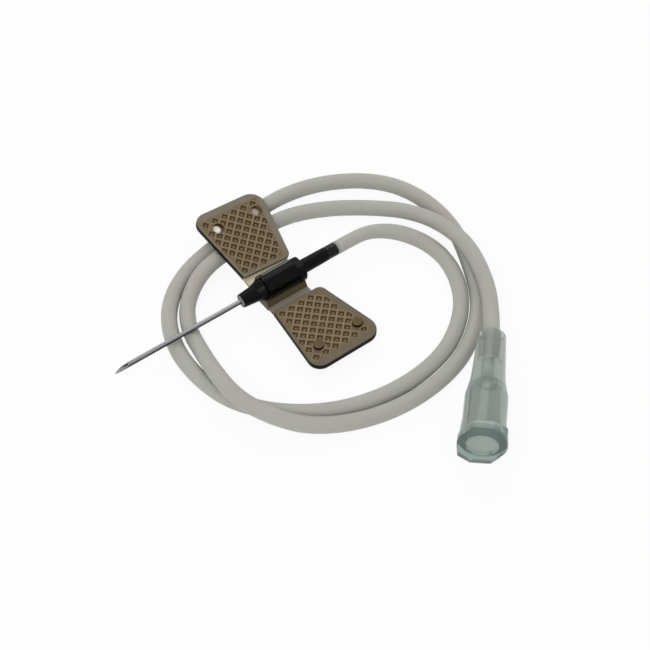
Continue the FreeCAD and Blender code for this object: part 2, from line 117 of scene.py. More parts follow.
# Painted white table: even and bright to the camera, with only a faint shadow of the set
white_table, tree, output = new_material("white_table")
table_paint = add_node(tree, "ShaderNodeBsdfDiffuse", {"Color": linear_colour("F4F4F4")})
table_glow = add_node(tree, "ShaderNodeEmission", {"Color": WHITE, "Strength": 1.0})
glow_share = combined(tree, "MULTIPLY", (seen_directly(tree), TABLE_GLOW_SHARE))
table_surface = add_node(tree, "ShaderNodeMixShader", {
    0: glow_share, 1: table_paint.outputs[0], 2: table_glow.outputs[0]})
tree.links.new(table_surface.outputs[0], output.inputs["Surface"])

table_mesh = bpy.data.meshes.new("table")
table_corners = [(-TABLE_REACH, -TABLE_REACH), (TABLE_REACH, -TABLE_REACH),
                 (TABLE_REACH, TABLE_REACH), (-TABLE_REACH, TABLE_REACH)]
table_mesh.from_pydata([(x, y, TABLE_Z) for x, y in table_corners], [], [(0, 1, 2, 3)])
table = bpy.data.objects.new("table", table_mesh)
bpy.context.collection.objects.link(table)
table_mesh.materials.append(white_table)

world = bpy.data.worlds.new("soft_studio")
world.use_nodes = True
tree = world.node_tree
tree.nodes.clear()
sky = add_node(tree, "ShaderNodeBackground", {"Color": WHITE, "Strength": SKY_STRENGTH})
backdrop = add_node(tree, "ShaderNodeBackground", {"Color": WHITE, "Strength": 1.0})
sky_choice = add_node(tree, "ShaderNodeMixShader", {
    0: seen_directly(tree), 1: sky.outputs[0], 2: backdrop.outputs[0]})
add_node(tree, "ShaderNodeOutputWorld", {"Surface": sky_choice.outputs[0]})
bpy.context.scene.world = world


def soft_box(name, place, width, watts):
    """Square soft light that faces the middle of the set."""
    lamp = bpy.data.lights.new(name, "AREA")
    lamp.size = width
    lamp.energy = watts
    box = bpy.data.objects.new(name, lamp)
    box.location = Vector(place)
    box.rotation_euler = (CAMERA_TARGET - box.location).to_track_quat("-Z", "Y").to_euler()
    bpy.context.collection.objects.link(box)


soft_box("key_light", **KEY_LIGHT)
soft_box("fill_light", **FILL_LIGHT)

camera_data = bpy.data.cameras.new("camera")
camera_data.lens = CAMERA_LENS
camera_data.sensor_width = CAMERA_SENSOR
camera_data.clip_start = CAMERA_REACH[0]
camera_data.clip_end = CAMERA_REACH[1]
camera = bpy.data.objects.new("camera", camera_data)
height = math.radians(CAMERA_HEIGHT_DEG)
side = math.radians(CAMERA_SIDE_DEG)
towards_camera = Vector((
    math.sin(side) * math.cos(height), math.cos(side) * math.cos(height), math.sin(height)))
camera.location = CAMERA_TARGET + towards_camera * CAMERA_DISTANCE
camera.rotation_euler = (-towards_camera).to_track_quat("-Z", "Y").to_euler()
bpy.context.collection.objects.link(camera)
bpy.context.scene.camera = camera
bpy.context.scene.view_settings.view_transform = "Standard"


# Connector: a female luer moulded in pale green, slightly cloudy polycarbonate. The tubing is glued into
# its small end; the two lugs on the flange take a locking collar. Its axis runs from the small end to the
# mouth, and places are in millimetres along it: the small end lies at 2, the mouth at 20.2.
CONNECTOR_AXIS = (0.7036, 0.71024, 0.02222)
CONNECTOR_STEM = (5.0, 12.0)
CONNECTOR_FLANGE = (18.9, 19.1)
CONNECTOR_FACE = (19.95, 20.1)
CONNECTOR_CLOUDS_PER_MM = 0.35
CONNECTOR_SHARP_DEG = 32
MERGE_REACH = 0.0005 * MM


def smooth_copy(node, name, sharp_deg):
    """Own piece in the shape of a CAD node, with its triangles joined and its round faces smooth."""
    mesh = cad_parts[node].data.copy()
    mesh.name = name
    form = bmesh.new()
    form.from_mesh(mesh)
    bmesh.ops.remove_doubles(form, verts=form.verts, dist=MERGE_REACH)
    for face in form.faces:
        face.smooth = True
    for edge in form.edges:
        edge.smooth = len(edge.link_faces) == 2 and edge.calc_face_angle() < math.radians(sharp_deg)
    form.to_mesh(mesh)
    form.free()
    mesh.materials.clear()
    piece = bpy.data.objects.new(name, mesh)
    bpy.context.collection.objects.link(piece)
    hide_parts(node)
    return piece


# Clear polycarbonate with a pale green tint: its walls bend the light at their rims and gather the tint,
# most of all in the solid flange and on the mouth's face
clear_polycarbonate, tree, output = new_material("clear_green_polycarbonate")
place = add_node(tree, "ShaderNodeTexCoord")
cloud = add_node(tree, "ShaderNodeTexNoise", {
    "Vector": place.outputs["Object"], "Scale": CONNECTOR_CLOUDS_PER_MM / MM, "Detail": 3.0})
tint = add_node(tree, "ShaderNodeMix", data_type="RGBA", sockets={
    "Factor": cloud.outputs["Fac"], "A": linear_colour("BEC4C0"), "B": linear_colour("C8CDCA")})
along = add_node(tree, "ShaderNodeVectorMath", {0: place.outputs["Object"], 1: CONNECTOR_AXIS},
                 operation="DOT_PRODUCT")
for (start, end), code in (
        (CONNECTOR_STEM, "BCC2BE"), (CONNECTOR_FLANGE, "B6BEBA"), (CONNECTOR_FACE, "94A8A0")):
    share = add_node(tree, "ShaderNodeMapRange", {
        "Value": along.outputs["Value"], "From Min": start * MM, "From Max": end * MM})
    tint = add_node(tree, "ShaderNodeMix", data_type="RGBA", sockets={
        "Factor": share.outputs[0], "A": tint.outputs["Result"], "B": linear_colour(code)})
skin = add_node(tree, "ShaderNodeBump", {
    "Height": cloud.outputs["Fac"], "Strength": 0.05, "Distance": 0.02 * MM})
shader = add_node(tree, "ShaderNodeBsdfPrincipled", {
    "Base Color": tint.outputs["Result"], "Normal": skin.outputs[0],
    "Roughness": 0.1, "IOR": 1.36, "Transmission Weight": 0.75})
depth_tint = add_node(tree, "ShaderNodeVolumeAbsorption", {
    "Color": linear_colour("86B29C"), "Density": 130.0})
tree.links.new(shader.outputs[0], output.inputs["Surface"])
tree.links.new(depth_tint.outputs[0], output.inputs["Volume"])

connector = smooth_copy("connector", "luer_connector", CONNECTOR_SHARP_DEG)
connector.data.materials.append(clear_polycarbonate)
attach(connector, "hub")


# Tubing: soft clear PVC, 2.3 mm across, bonded over the hub's spigot and into the connector. It lies on the
# table in a little over two loose turns and crosses over itself twice. Its glued end is narrower, by the
# neck's share of the radius at the route's first points.
TUBE_RADIUS = 1.15 * MM
TUBE_NECK = 0.87
TUBE_NECK_POINTS = 3
TUBE_ROUTE_MM = (
    (-14.52, 0, 0), (-18.32, 0, 0),
    (-22.35, -0.1, -0.4), (-26.2, 1.95, -1.2), (-28.6, 6.1, -1.75), (-28.6, 11.05, -1.75),
    (-26.25, 16.45, -1.75), (-22, 20.6, -1.75), (-16.4, 23.3, -1.75), (-8.5, 23.95, -1.75),
    (-0.75, 22.1, -1.75), (5.6, 18, -1.75), (10.15, 12.3, -1.75), (11.6, 5.9, -1.75),
    (11.1, -0.5, -1.75), (8.3, -6.25, -1.75), (2.9, -10.35, -1.75), (-4.3, -12.05, -1.75),
    (-11.85, -14.1, -1.75), (-19.6, -14.1, -1.75), (-26.5, -11.35, -1.75), (-31.5, -6.9, -1.75),
    (-33.7, -0.9, -1.75), (-33.55, 5.9, -1.75), (-31.05, 12.1, -1.75), (-27.85, 18.25, -1.75),
    (-23.05, 22.8, -1.75), (-16.75, 25.8, -1.75), (-9, 26.55, -1.75), (-1.7, 25.05, -1.75),
    (4.4, 22.15, -1), (8.1, 18.7, 0.5), (10.2, 13.7, 0.85), (10, 8.4, 0.5),
    (8.85, 3.2, -1.15), (7.85, -1.6, -1.75), (5.35, -5.75, -1.6), (0.35, -8.75, -0.7),
    (-7, -10.1, -1.7), (-14.3, -10.9, -1.75), (-20.6, -8.5, -1.75), (-26, -4.7, -1.75),
    (-29.8, 0.1, -0.8), (-31.35, 6.1, 0.5), (-31.3, 12.6, 0.85), (-27.2, 21.95, 0.61),
    (-20.162, 29.0177, 0.7991),
)
TUBE_CLEAR_START = (-14.5 * MM, 0.0, 0.0)
TUBE_CLEAR_REACH = (1.9 * MM, 2.9 * MM)
TUBE_HAZE_PER_MM = 0.07

# Soft clear PVC: milky through its thick wall, so light spreads inside it and no edge is hard. The glued end
# is still clear, so that the hub's black spigot shows through it.
clear_pvc, tree, output = new_material("clear_pvc")
place = add_node(tree, "ShaderNodeTexCoord")
haze = add_node(tree, "ShaderNodeTexNoise", {
    "Vector": place.outputs["Object"], "Scale": TUBE_HAZE_PER_MM / MM, "Detail": 1.0})
warm = add_node(tree, "ShaderNodeMapRange", {
    "Value": haze.outputs["Fac"], "From Min": 0.5, "From Max": 0.85})
tint = add_node(tree, "ShaderNodeMix", data_type="RGBA", sockets={
    "Factor": warm.outputs[0], "A": linear_colour("B3B3AC"), "B": linear_colour("B4ABA6")})
from_hub = add_node(tree, "ShaderNodeVectorMath", {0: place.outputs["Object"], 1: TUBE_CLEAR_START},
                    operation="DISTANCE")
milky = add_node(tree, "ShaderNodeMapRange", {
    "Value": from_hub.outputs["Value"], "From Min": TUBE_CLEAR_REACH[0], "From Max": TUBE_CLEAR_REACH[1]})
clear = add_node(tree, "ShaderNodeMapRange", {"Value": milky.outputs[0], "To Min": 1.0, "To Max": 0.12})
rough = add_node(tree, "ShaderNodeMapRange", {"Value": milky.outputs[0], "To Min": 0.03, "To Max": 0.5})
body = add_node(tree, "ShaderNodeMix", data_type="RGBA", sockets={
    "Factor": milky.outputs[0], "A": linear_colour("E4E4E2"), "B": tint.outputs["Result"]})
shader = add_node(tree, "ShaderNodeBsdfPrincipled", {
    "Base Color": body.outputs["Result"], "Roughness": rough.outputs[0],
    "Transmission Weight": clear.outputs[0], "IOR": 1.25,
    "Subsurface Weight": 1.0, "Subsurface Scale": 2.0 * MM, "Subsurface Radius": (1.0, 0.95, 0.9)})
tree.links.new(shader.outputs[0], output.inputs["Surface"])

tube_curve = bpy.data.curves.new("tubing", "CURVE")
tube_curve.dimensions = "3D"
tube_curve.bevel_depth = TUBE_RADIUS
tube_curve.bevel_resolution = 5
tube_curve.resolution_u = 10
tube_curve.use_fill_caps = True
tube_line = tube_curve.splines.new("NURBS")
tube_line.points.add(len(TUBE_ROUTE_MM) - 1)
for i, (point, (x, y, z)) in enumerate(zip(tube_line.points, TUBE_ROUTE_MM)):
    point.co = (x * MM, y * MM, z * MM, 1)
    point.radius = TUBE_NECK if i < TUBE_NECK_POINTS else 1.0
tube_line.order_u = 3
tube_line.use_endpoint_u = True
tube_curve.materials.append(clear_pvc)
tubing = bpy.data.objects.new("tubing", tube_curve)
bpy.context.collection.objects.link(tubing)
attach(tubing, "hub")
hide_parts("tube")


# Hub: one injection moulding in glossy black ABS, with a nose cone, two collars and a barrel. The cannula is
# set in its nose, the sleeve grips its body, and the tubing is pushed over the spigot at its end.
HUB_RIPPLES_PER_MM = 1.4
HUB_SHARP_DEG = 32

# Glossy black ABS: deep and slightly blue, with a fine ripple that the mould leaves
black_abs, tree, output = new_material("black_abs")
place = add_node(tree, "ShaderNodeTexCoord")
ripple = add_node(tree, "ShaderNodeTexNoise", {
    "Vector": place.outputs["Object"], "Scale": HUB_RIPPLES_PER_MM / MM, "Detail": 2.0})
skin = add_node(tree, "ShaderNodeBump", {
    "Height": ripple.outputs["Fac"], "Strength": 0.12, "Distance": 0.02 * MM})
shine = add_node(tree, "ShaderNodeMapRange", {"Value": ripple.outputs["Fac"], "To Min": 0.26, "To Max": 0.4})
shader = add_node(tree, "ShaderNodeBsdfPrincipled", {
    "Base Color": linear_colour("08080B"), "IOR": 1.17,
    "Roughness": shine.outputs[0], "Normal": skin.outputs[0]})
tree.links.new(shader.outputs[0], output.inputs["Surface"])

hub = smooth_copy("hub", "hub_moulding", HUB_SHARP_DEG)
hub.data.materials.append(black_abs)
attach(hub, "hub")


# Cannula: drawn stainless tube, 0.7 mm across, ground to a three-facet point and polished. Its blunt end is
# set in the hub's nose.
DRAWING_LINES_PER_MM = (0.04, 4.0, 4.0)
CANNULA_SHARP_DEG = 28

# Polished steel with faint drawing lines along it, coarser than real ones so that they show; its underside
# is painted darker as shade, by how far each part of the surface faces down
drawn_steel, tree, output = new_material("drawn_steel")
place = add_node(tree, "ShaderNodeTexCoord")
stretch = add_node(tree, "ShaderNodeMapping", {
    "Vector": place.outputs["Object"], "Scale": [count / MM for count in DRAWING_LINES_PER_MM]})
lines = add_node(tree, "ShaderNodeTexNoise", {"Vector": stretch.outputs[0], "Scale": 1.0, "Detail": 2.0})
rough = add_node(tree, "ShaderNodeMapRange", {"Value": lines.outputs["Fac"], "To Min": 0.2, "To Max": 0.36})
skin = add_node(tree, "ShaderNodeBump", {
    "Height": lines.outputs["Fac"], "Strength": 0.1, "Distance": 0.01 * MM})
# Painted shade: the steel's colour runs from light where the surface faces up to dark where it faces down
facing = add_node(tree, "ShaderNodeNewGeometry")
up = add_node(tree, "ShaderNodeSeparateXYZ", {"Vector": facing.outputs["Normal"]})
turn = add_node(tree, "ShaderNodeMapRange", {"Value": up.outputs["Z"], "From Min": -0.1, "From Max": 0.75})
shade = add_node(tree, "ShaderNodeValToRGB", {"Fac": turn.outputs[0]})
shade.color_ramp.elements[0].color = linear_colour("2C2C2E")
shade.color_ramp.elements[1].color = linear_colour("8B8B8D")
painted_shade_stop = shade.color_ramp.elements.new(0.55)
painted_shade_stop.color = linear_colour("4A4A4C")
shader = add_node(tree, "ShaderNodeBsdfPrincipled", {
    "Metallic": 1.0, "Base Color": shade.outputs["Color"], "Roughness": rough.outputs[0],
    "Normal": skin.outputs[0]})
tree.links.new(shader.outputs[0], output.inputs["Surface"])

cannula = smooth_copy("cannula", "steel_cannula", CANNULA_SHARP_DEG)
cannula.data.materials.append(drawn_steel)
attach(cannula, "hub")


# Adhesive in the nose: a cured grey acrylic plug that holds the cannula, run in round it as a liquid, with a
# low fillet at its top.
ADHESIVE_CLOUDS_PER_MM = 1.8
ADHESIVE_SHARP_DEG = 32

# Cured acrylic adhesive: matt grey with small clouds
grey_adhesive, tree, output = new_material("grey_adhesive")
place = add_node(tree, "ShaderNodeTexCoord")
cloud = add_node(tree, "ShaderNodeTexNoise", {
    "Vector": place.outputs["Object"], "Scale": ADHESIVE_CLOUDS_PER_MM / MM, "Detail": 3.0})
tint = add_node(tree, "ShaderNodeMix", data_type="RGBA", sockets={
    "Factor": cloud.outputs["Fac"], "A": linear_colour("606265"), "B": linear_colour("8A8B8D")})
shader = add_node(tree, "ShaderNodeBsdfPrincipled", {
    "Base Color": tint.outputs["Result"], "Roughness": 0.45, "IOR": 1.48})
tree.links.new(shader.outputs[0], output.inputs["Surface"])

adhesive = smooth_copy("needle_adhesive", "needle_adhesive_plug", ADHESIVE_SHARP_DEG)
adhesive.data.materials.append(grey_adhesive)
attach(adhesive, "hub")


# Sleeve and saddle: one soft moulding in smoke-tinted PVC that grips the hub and carries the wings on two
# webs. A painted reflection runs along its far shoulder as a pale band; the band's angles are measured from
# straight up.
REFLECTION_BAND_DEG = (20.0, 46.0)
REFLECTION_BAND_X = (-8.8, -4.2)
FAR_LEDGE_Y = (-1.6, -2.1)
LEDGE_Z = (-0.2, -0.6)
SLEEVE_MOTTLE_PER_MM = 0.26
SLEEVE_SHARP_DEG = 32

# Smoke PVC: clear and dark over the black hub; the saddle's near ledge is painted olive as shade and its far
# one pale as light
smoke_pvc, tree, output = new_material("smoke_pvc")
place = add_node(tree, "ShaderNodeTexCoord")
mottle = add_node(tree, "ShaderNodeTexNoise", {
    "Vector": place.outputs["Object"], "Scale": SLEEVE_MOTTLE_PER_MM / MM, "Detail": 2.0})
near_tint = add_node(tree, "ShaderNodeMix", data_type="RGBA", sockets={
    "Factor": mottle.outputs["Fac"], "A": linear_colour("26261F"), "B": linear_colour("313026")})
far_tint_painted_light = add_node(tree, "ShaderNodeMix", data_type="RGBA", sockets={
    "Factor": mottle.outputs["Fac"], "A": linear_colour("B0A691"), "B": linear_colour("C8BEA8")})
spot = add_node(tree, "ShaderNodeSeparateXYZ", {"Vector": place.outputs["Object"]})
across = add_node(tree, "ShaderNodeMapRange", {
    "Value": spot.outputs["Y"], "From Min": FAR_LEDGE_Y[0] * MM, "From Max": FAR_LEDGE_Y[1] * MM})
ledge = add_node(tree, "ShaderNodeMapRange", {
    "Value": spot.outputs["Z"], "From Min": LEDGE_Z[0] * MM, "From Max": LEDGE_Z[1] * MM})
far_ledge = combined(tree, "MULTIPLY", (across.outputs[0], ledge.outputs[0]))
# Painted shade and light: the near ledge takes a dark olive, the far ledge the pale tint
saddle_tint = add_node(tree, "ShaderNodeMix", data_type="RGBA", sockets={
    "Factor": ledge.outputs[0], "A": near_tint.outputs["Result"], "B": linear_colour("585139")})
tint = add_node(tree, "ShaderNodeMix", data_type="RGBA", sockets={
    "Factor": far_ledge, "A": saddle_tint.outputs["Result"], "B": far_tint_painted_light.outputs["Result"]})
# Painted reflection: a pale grey band along the far shoulder, less clear than the rest of the sleeve
over = combined(tree, "MULTIPLY", (spot.outputs["Y"], -1.0))
angle = combined(tree, "ARCTAN2", (over, spot.outputs["Z"]))
on_reflection_band = add_node(tree, "ShaderNodeMath", {
    0: angle, 1: math.radians(sum(REFLECTION_BAND_DEG) / 2),
    2: math.radians(REFLECTION_BAND_DEG[1] - REFLECTION_BAND_DEG[0]) / 2}, operation="COMPARE")
along = add_node(tree, "ShaderNodeMath", {
    0: spot.outputs["X"], 1: sum(REFLECTION_BAND_X) / 2 * MM,
    2: (REFLECTION_BAND_X[1] - REFLECTION_BAND_X[0]) / 2 * MM}, operation="COMPARE")
painted_reflection = combined(tree, "MULTIPLY", (on_reflection_band.outputs[0], along.outputs[0]))
tint = add_node(tree, "ShaderNodeMix", data_type="RGBA", sockets={
    "Factor": painted_reflection, "A": tint.outputs["Result"], "B": linear_colour("6C716D")})
reflection_or_ledge = combined(tree, "MAXIMUM", (painted_reflection, ledge.outputs[0]))
clear = add_node(tree, "ShaderNodeMapRange", {"Value": reflection_or_ledge, "To Min": 0.95, "To Max": 0.3})
shader = add_node(tree, "ShaderNodeBsdfPrincipled", {
    "Base Color": tint.outputs["Result"], "Transmission Weight": clear.outputs[0],
    "Roughness": 0.08, "IOR": 1.18})
tree.links.new(shader.outputs[0], output.inputs["Surface"])

sleeve = smooth_copy("wing_sleeve", "wing_sleeve_moulding", SLEEVE_SHARP_DEG)
sleeve.data.materials.append(smoke_pvc)
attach(sleeve, "hub")


# Wings: flat soft blades of the same moulding, 0.85 mm thick. A lattice of small square pockets gives the
# fingers grip, and two pegs on one wing go into two sockets in the other when they are pinched together.
# Their plan is drawn flat in millimetres, by x and by the distance d from the hub's axis.
HINGE_OFFSET = 3.0
HINGE_Z = -1.485
WING_BASE_Z = -1.66
WING_TOP_Z = -0.81
WING_ROOT = 3.6

# Each corner of the plate has its x, its d and its radius, from the front root round by the tip; each step
# of the rim has its inset and its drop from the top
WING_CORNERS = ((-2.85, 3.6, 0.15), (-1.4, 15.45, 1.8), (-13.35, 15.45, 2.2), (-10.95, 3.6, 1.1))
WING_MIDDLE = (-6.9, 9.525)
WING_ARC_STEPS = 10
WING_UNDER_EDGE = 0.06
WING_RIM = ((0.0, 0.2), (0.045, 0.07), (0.13, 0.0))
WING_SHARP_DEG = 30
WEB_TOP_Z = -1.31
WEB_X = (-9.6, -2.9)
STRIP_START = 3.11
STRIP_OVERLAP = 0.3
STRIP_ROUNDING_SHARE = 0.45
STRIP_LIFT = 0.001

# The lattice's margins and corner radii follow the plate's edges and corners in the same order; its cutters
# stand proud of the plate, so that each pocket is open
LATTICE_MARGINS = (0.4, 1.2, 1.1, 0.6)
LATTICE_CORNERS = (0.05, 0.8, 1.3, 0.6)
LATTICE_ARC_STEPS = 6
LATTICE_ROWS = 21
LATTICE_TURN = math.radians(45)
CELL_CENTRE_MARGIN = 0.1
CELL_PITCH = 1.15
CELL_MOUTH = 0.92
CELL_FLOOR = 0.56
CELL_DEPTH = 0.22
CUTTER_PROUD = 0.05
FIELD_REACH = 2 * CELL_DEPTH

# Pegs and sockets, with the plain ring that the lattice leaves round each; the post that clears the ring is
# taller than the lattice's field
PEG_PLACES = ((-4.2, 12.3), (-10.8, 12.3))
PEG_RADIUS = 0.75
PEG_HEIGHT = 0.5
PEG_ROOT = 0.1
PEG_ROUNDING = 0.1
PEG_RING = 1.0
PEG_RING_HEIGHT = 4.4 * CELL_DEPTH
PEG_RING_SIDES = 32
ROUND_SIDES = 40
ROUNDING_MIDDLE = 0.3
SOCKET_RADIUS = 0.85
SOCKET_DEPTH = 0.55
SOCKET_CUTTER_PROUD = 1.0

# How the soft wings lie: both a little up from flat, the right one also pitched along the hub
LEFT_TILT_DEG = 0.9
RIGHT_TILT_DEG = 13.6
RIGHT_PITCH_DEG = 5.0
RIGHT_PITCH_X = -7.1


def rounded_outline(corners, steps):
    """Points and outward normals round a convex outline whose corners are arcs, in the corners' order."""
    outline = []
    count = len(corners)
    for i, (x, d, radius) in enumerate(corners):
        here = Vector((x, d))
        back = (Vector(corners[i - 1][:2]) - here).normalized()
        ahead = (Vector(corners[(i + 1) % count][:2]) - here).normalized()
        middle = (back + ahead).normalized()
        half = back.angle(ahead) / 2
        centre = here + middle * (radius / math.sin(half))
        first = (here + back * (radius / math.tan(half)) - centre).normalized()
        last = (here + ahead * (radius / math.tan(half)) - centre).normalized()
        turn = first.angle_signed(last)
        for k in range(steps + 1):
            angle = -turn * k / steps
            normal = Vector((first.x * math.cos(angle) - first.y * math.sin(angle),
                             first.x * math.sin(angle) + first.y * math.cos(angle)))
            outline.append((centre + normal * radius, normal))
    return outline


def stacked_solid(name, rings):
    """Closed solid through rings of equal count, with flat faces on its ends."""
    form = bmesh.new()
    loops = [[form.verts.new(spot) for spot in ring] for ring in rings]
    count = len(loops[0])
    for low, high in zip(loops, loops[1:]):
        for i in range(count):
            k = (i + 1) % count
            form.faces.new((low[i], low[k], high[k], high[i]))
    form.faces.new(list(reversed(loops[0])))
    form.faces.new(loops[-1])
    bmesh.ops.recalc_face_normals(form, faces=form.faces)
    mesh = bpy.data.meshes.new(name)
    form.to_mesh(mesh)
    form.free()
    solid = bpy.data.objects.new(name, mesh)
    bpy.context.collection.objects.link(solid)
    return solid


def wing_edges():
    """Outward normal of each straight edge of the plan, with the offset of the lattice's edge beside it."""
    edges = []
    count = len(WING_CORNERS)
    for i, margin in enumerate(LATTICE_MARGINS):
        start = Vector(WING_CORNERS[i][:2])
        end = Vector(WING_CORNERS[(i + 1) % count][:2])
        along = (end - start).normalized()
        normal = Vector((along.y, -along.x))
        if normal.dot(Vector(WING_MIDDLE) - start) > 0:
            normal = -normal
        edges.append((normal, normal.dot(start) - margin))
    return edges


def lattice_field():
    """Solid inside the lattice's edges, which trims the pockets there."""
    edges = wing_edges()
    corners = []
    for i, radius in enumerate(LATTICE_CORNERS):
        (normal_a, offset_a), (normal_b, offset_b) = edges[i - 1], edges[i]
        across = normal_a.x * normal_b.y - normal_a.y * normal_b.x
        x = (offset_a * normal_b.y - offset_b * normal_a.y) / across
        d = (normal_a.x * offset_b - normal_b.x * offset_a) / across
        corners.append((x, d, radius))
    rings = []
    for z in (WING_TOP_Z - FIELD_REACH, WING_TOP_Z + FIELD_REACH):
        rings.append([Vector((*spot, z)) * MM for spot, _ in rounded_outline(corners, LATTICE_ARC_STEPS)])
    return stacked_solid("lattice_field", rings)


def off_lattice(tree):
    """1 where a pocket's centre would lie outside the lattice or too near a peg."""
    place = add_node(tree, "GeometryNodeInputPosition")
    reasons = []
    for normal, offset in wing_edges():
        dot = add_node(tree, "ShaderNodeVectorMath", {0: place.outputs[0], 1: (normal.x, normal.y, 0.0)},
                       operation="DOT_PRODUCT")
        limit = (offset - CELL_CENTRE_MARGIN) * MM
        reasons.append(combined(tree, "GREATER_THAN", (dot.outputs["Value"], limit)))
    for x, d in PEG_PLACES:
        away = add_node(tree, "ShaderNodeVectorMath", {0: place.outputs[0], 1: (x * MM, d * MM, 0.0)},
                        operation="DISTANCE")
        limit = (PEG_RING + CELL_CENTRE_MARGIN) * MM
        reasons.append(combined(tree, "LESS_THAN", (away.outputs["Value"], limit)))
    return combined(tree, "MAXIMUM", reasons)


def pocket_cutters(tree, given):
    """Tapered square cutters on a grid at 45 degrees, trimmed by the field and by a ring round each peg."""
    span = combined(tree, "MULTIPLY", (given.outputs["Pitch"], LATTICE_ROWS - 1.0))
    grid = add_node(tree, "GeometryNodeMeshGrid", {
        "Vertices X": LATTICE_ROWS, "Vertices Y": LATTICE_ROWS, "Size X": span, "Size Y": span})
    turned = add_node(tree, "GeometryNodeTransform", {
        "Geometry": grid.outputs["Mesh"], "Rotation": (0.0, 0.0, LATTICE_TURN),
        "Translation": (WING_MIDDLE[0] * MM, WING_MIDDLE[1] * MM, 0.0)})
    kept = add_node(tree, "GeometryNodeDeleteGeometry", {
        "Geometry": turned.outputs[0], "Selection": off_lattice(tree)}, domain="POINT")
    cutter = add_node(tree, "GeometryNodeMeshCone", {
        "Vertices": 4, "Depth": given.outputs["Depth"],
        "Radius Top": combined(tree, "MULTIPLY", (given.outputs["Mouth"], 1 / math.sqrt(2))),
        "Radius Bottom": combined(tree, "MULTIPLY", (given.outputs["Floor"], 1 / math.sqrt(2)))})
    low = combined(tree, "SUBTRACT", (given.outputs["Top"], given.outputs["Depth"]))
    drop = add_node(tree, "ShaderNodeCombineXYZ", {"Z": low})
    sunk = add_node(tree, "GeometryNodeTransform", {
        "Geometry": cutter.outputs["Mesh"], "Translation": drop.outputs[0]})
    cells = add_node(tree, "GeometryNodeInstanceOnPoints", {
        "Points": kept.outputs[0], "Instance": sunk.outputs[0]})
    real = add_node(tree, "GeometryNodeRealizeInstances", {0: cells.outputs[0]})
    field = add_node(tree, "GeometryNodeObjectInfo", {"Object": given.outputs["Field"]})
    trimmed = add_node(tree, "GeometryNodeMeshBoolean", operation="INTERSECT", solver="EXACT")
    tree.links.new(real.outputs[0], trimmed.inputs["Mesh 2"])
    tree.links.new(field.outputs["Geometry"], trimmed.inputs["Mesh 2"])
    for x, d in PEG_PLACES:
        post = add_node(tree, "GeometryNodeMeshCylinder", {
            "Vertices": PEG_RING_SIDES, "Radius": PEG_RING * MM, "Depth": PEG_RING_HEIGHT * MM})
        ring = add_node(tree, "GeometryNodeTransform", {
            "Geometry": post.outputs["Mesh"], "Translation": (x * MM, d * MM, WING_TOP_Z * MM)})
        trimmed = add_node(tree, "GeometryNodeMeshBoolean", operation="DIFFERENCE", solver="EXACT", sockets={
            "Mesh 1": trimmed.outputs["Mesh"], "Mesh 2": ring.outputs[0]})
    return trimmed.outputs["Mesh"]


def lattice_tree():
    """Node tree that cuts a lattice of tapered square pockets into the plate that comes in."""
    tree = bpy.data.node_groups.new("grip_lattice", "GeometryNodeTree")
    tree.is_modifier = True
    tree.interface.new_socket("Geometry", in_out="INPUT", socket_type="NodeSocketGeometry")
    for name in ("Pitch", "Mouth", "Floor", "Depth", "Top"):
        tree.interface.new_socket(name, in_out="INPUT", socket_type="NodeSocketFloat")
    tree.interface.new_socket("Field", in_out="INPUT", socket_type="NodeSocketObject")
    tree.interface.new_socket("Finish", in_out="INPUT", socket_type="NodeSocketMaterial")
    tree.interface.new_socket("Geometry", in_out="OUTPUT", socket_type="NodeSocketGeometry")
    given = add_node(tree, "NodeGroupInput")
    cut = add_node(tree, "GeometryNodeMeshBoolean", operation="DIFFERENCE", solver="EXACT", sockets={
        "Mesh 1": given.outputs["Geometry"], "Mesh 2": pocket_cutters(tree, given)})
    joined = add_node(tree, "GeometryNodeRealizeInstances", {0: cut.outputs["Mesh"]})
    finished = add_node(tree, "GeometryNodeSetMaterial", {
        "Geometry": joined.outputs[0], "Material": given.outputs["Finish"]})
    add_node(tree, "NodeGroupOutput", {"Geometry": finished.outputs[0]})
    return tree


# Smoke PVC with the grip lattice, with shade and light painted into its colour: brown ridges, pocket walls
# and a ring round each pocket floor painted darker as shade, paler floor centres, cut edges and peg sides
# painted near-black as shade, a pale root face and strip painted as lit, and a painted glint on each
# socket's floor. The plan attribute holds each point's x, its d and its depth below the wing's top, in
# millimetres.
LATTICE_MOTTLE_PER_MM = 0.9
LATTICE_TONES = {
    "field": ("65573F", "776852"),
    "ridge": ("76674F", "8D7C64"),
    "wall_painted_shade": ("43341F", "544329"),
    "floor": ("6A5A42", "7F6E56"),
    "far_margin": ("6E6859", "827B6C"),
    "near_margin": ("61574A", "736957"),
    "cut": ("0E0E0A", "181810"),
    "peg": ("54472B", "645638"),
    "root": ("B4A992", "CCC1AA"),
}

# Each socket's painted glint, a highlight on its floor: its tone, the distances where it starts and where it
# is full, and its shift
SOCKET_GLINT_TONES = ("F4F2EC", "B9A699")
SOCKET_GLINT = (0.68, 0.52)
SOCKET_GLINT_SHIFT = 0.18
SOCKET_FLOOR_SLACK = 0.04

# The grid that the pockets stand on, as a Mapping node takes it
CELL_STEP = 0.01
CELL_TURN = {"Location": (WING_MIDDLE[0], WING_MIDDLE[1], 0.0), "Rotation": (0.0, 0.0, LATTICE_TURN),
             "Scale": (CELL_PITCH, CELL_PITCH, 1.0)}


def inside_edges(tree, spot):
    """Distance of a spot in the plan from the nearest lattice edge in mm, positive inside."""
    gaps = []
    for normal, offset in wing_edges():
        dot = add_node(tree, "ShaderNodeVectorMath", {0: spot, 1: (normal.x, normal.y, 0.0)},
                       operation="DOT_PRODUCT")
        gaps.append(combined(tree, "SUBTRACT", (offset, dot.outputs["Value"])))
    return combined(tree, "MINIMUM", gaps)


